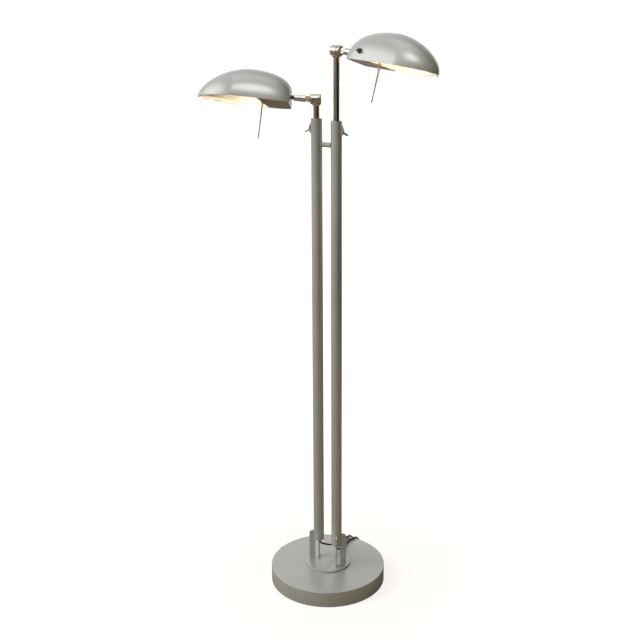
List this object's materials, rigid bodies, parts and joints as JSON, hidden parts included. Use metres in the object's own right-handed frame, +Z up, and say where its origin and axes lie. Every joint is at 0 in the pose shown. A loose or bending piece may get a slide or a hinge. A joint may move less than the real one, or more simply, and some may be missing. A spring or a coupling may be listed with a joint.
{
  "type": "floor lamp",
  "caption": "Floor lamp with two telescoping stems on a round base, each carrying a half-egg shade that swings, rolls and tilts.",
  "frame": {"origin": "centre of the base's underside, on the floor", "axes": "+Z up along the tubes, +X from the left tube to the right tube, the camera's side is -Y"},
  "size_m": [0.5439, 0.3176, 1.336],
  "materials": {
    "silver_paint": "satin",
    "nickel_plate": "polished",
    "black_plastic": "matt",
    "black_lever": "glossy",
    "white_nylon": "matt",
    "ceramic": "glazed",
    "glass_capsule": "clear",
    "bright_aluminium": "bright",
    "inner_sheet": "satin",
    "iron": "rough",
    "plain_steel": "plain",
    "felt": "felt",
    "black_rubber": "matt",
    "black_cord": "satin"
  },
  "bodies": {
    "stand": {"base_cover": "silver_paint", "base_pad": "felt", "base_plate": "plain_steel", "base_weight": "iron", "mounting_plate": "silver_paint", "plate_bolts": "plain_steel", "cross_bar": "silver_paint", "lever_pins": "plain_steel", "fin_left_outer": "silver_paint", "fin_left_back": "silver_paint", "fin_right_outer": "silver_paint", "fin_right_front": "silver_paint", "tube_left": "silver_paint", "tube_right": "silver_paint", "tube_bushing_left": "nickel_plate", "tube_bushing_right": "nickel_plate", "tube_grommet_left": "black_rubber", "tube_grommet_right": "black_rubber", "lever_housing_left": "silver_paint", "lever_housing_right": "silver_paint", "lead_left": "black_cord", "lead_right": "black_cord", "cord_junction": "black_cord", "cord_hank": "black_cord", "hank_tie": "black_cord", "plug": "black_cord"},
    "rod_left": {"rod_left": "nickel_plate", "rod_guide_left": "white_nylon"},
    "knuckle_left": {"knuckle_left": "nickel_plate"},
    "cap_left": {"swivel_cap_left": "nickel_plate"},
    "head_left": {"tilt_pin_left": "nickel_plate", "arm_left": "nickel_plate", "arm_collar_left": "black_plastic", "collar_nut_left": "nickel_plate", "shade_left": "silver_paint", "under_plate_left": "inner_sheet", "reflector_left": "bright_aluminium", "lamp_holder_left": "ceramic", "bulb_left": "glass_capsule", "aim_handle_left": "nickel_plate", "dimmer_left": "black_plastic"},
    "dimmer_knob_left": {"dimmer_knob_left": "black_plastic"},
    "lock_lever_left": {"lock_lever_left": "black_lever"},
    "rod_right": {"rod_right": "nickel_plate", "rod_guide_right": "white_nylon"},
    "knuckle_right": {"knuckle_right": "nickel_plate"},
    "cap_right": {"swivel_cap_right": "nickel_plate"},
    "head_right": {"tilt_pin_right": "nickel_plate", "arm_right": "nickel_plate", "arm_collar_right": "black_plastic", "collar_nut_right": "nickel_plate", "shade_right": "silver_paint", "under_plate_right": "inner_sheet", "reflector_right": "bright_aluminium", "lamp_holder_right": "ceramic", "bulb_right": "glass_capsule", "aim_handle_right": "nickel_plate", "dimmer_right": "black_plastic"},
    "dimmer_knob_right": {"dimmer_knob_right": "black_plastic"},
    "lock_lever_right": {"lock_lever_right": "black_lever"}
  },
  "joints": [
    {"name": "height_left", "type": "slide", "parent": "stand", "child": "rod_left", "axis": [0, 0, 1], "range_m": [-0.0127, 0.2373]},
    {"name": "swing_left", "type": "hinge", "parent": "rod_left", "child": "knuckle_left", "pos_m": [-0.0235, 0, 1.1877], "axis": [0, 0, 1], "range_deg": [-144.08, 105.92]},
    {"name": "roll_left", "type": "hinge", "parent": "knuckle_left", "child": "cap_left", "pos_m": [-0.0235, 0, 1.1877], "axis": [-0.9451, -0.3269, 0], "range_deg": [-109.69, 70.31]},
    {"name": "tilt_left", "type": "hinge", "parent": "cap_left", "child": "head_left", "pos_m": [-0.03957, -0.00556, 1.1877], "axis": [-0.3078, 0.8898, -0.3369], "range_deg": [-25.86, 14.14]},
    {"name": "dimmer_turn_left", "type": "hinge", "parent": "head_left", "child": "dimmer_knob_left", "pos_m": [-0.12518, 0.01328, 1.17896], "axis": [-0.0074, 0.9366, -0.3502], "range_deg": [-135, 135]},
    {"name": "lock_lift_left", "type": "hinge", "parent": "stand", "child": "lock_lever_left", "pos_m": [-0.0384, 0, 1.1225], "axis": [0, 1, 0], "range_deg": [0, 30]},
    {"name": "height_right", "type": "slide", "parent": "stand", "child": "rod_right", "axis": [0, 0, 1], "range_m": [-0.1207, 0.1293]},
    {"name": "swing_right", "type": "hinge", "parent": "rod_right", "child": "knuckle_right", "pos_m": [0.0235, 0, 1.2927], "axis": [0, 0, 1], "range_deg": [-110.87, 139.13]},
    {"name": "roll_right", "type": "hinge", "parent": "knuckle_right", "child": "cap_right", "pos_m": [0.0235, 0, 1.2927], "axis": [0.9697, -0.2441, 0], "range_deg": [-72.84, 107.16]},
    {"name": "tilt_right", "type": "hinge", "parent": "cap_right", "child": "head_right", "pos_m": [0.03999, -0.00415, 1.2927], "axis": [-0.2333, -0.9266, 0.295], "range_deg": [-16.46, 23.54]},
    {"name": "dimmer_turn_right", "type": "hinge", "parent": "head_right", "child": "dimmer_knob_right", "pos_m": [0.10154, -0.06658, 1.30141], "axis": [-0.5122, -0.8051, 0.2991], "range_deg": [-135, 135]},
    {"name": "lock_lift_right", "type": "hinge", "parent": "stand", "child": "lock_lever_right", "pos_m": [0.0384, 0, 1.1195], "axis": [0, -1, 0], "range_deg": [0, 30]}
  ]
}
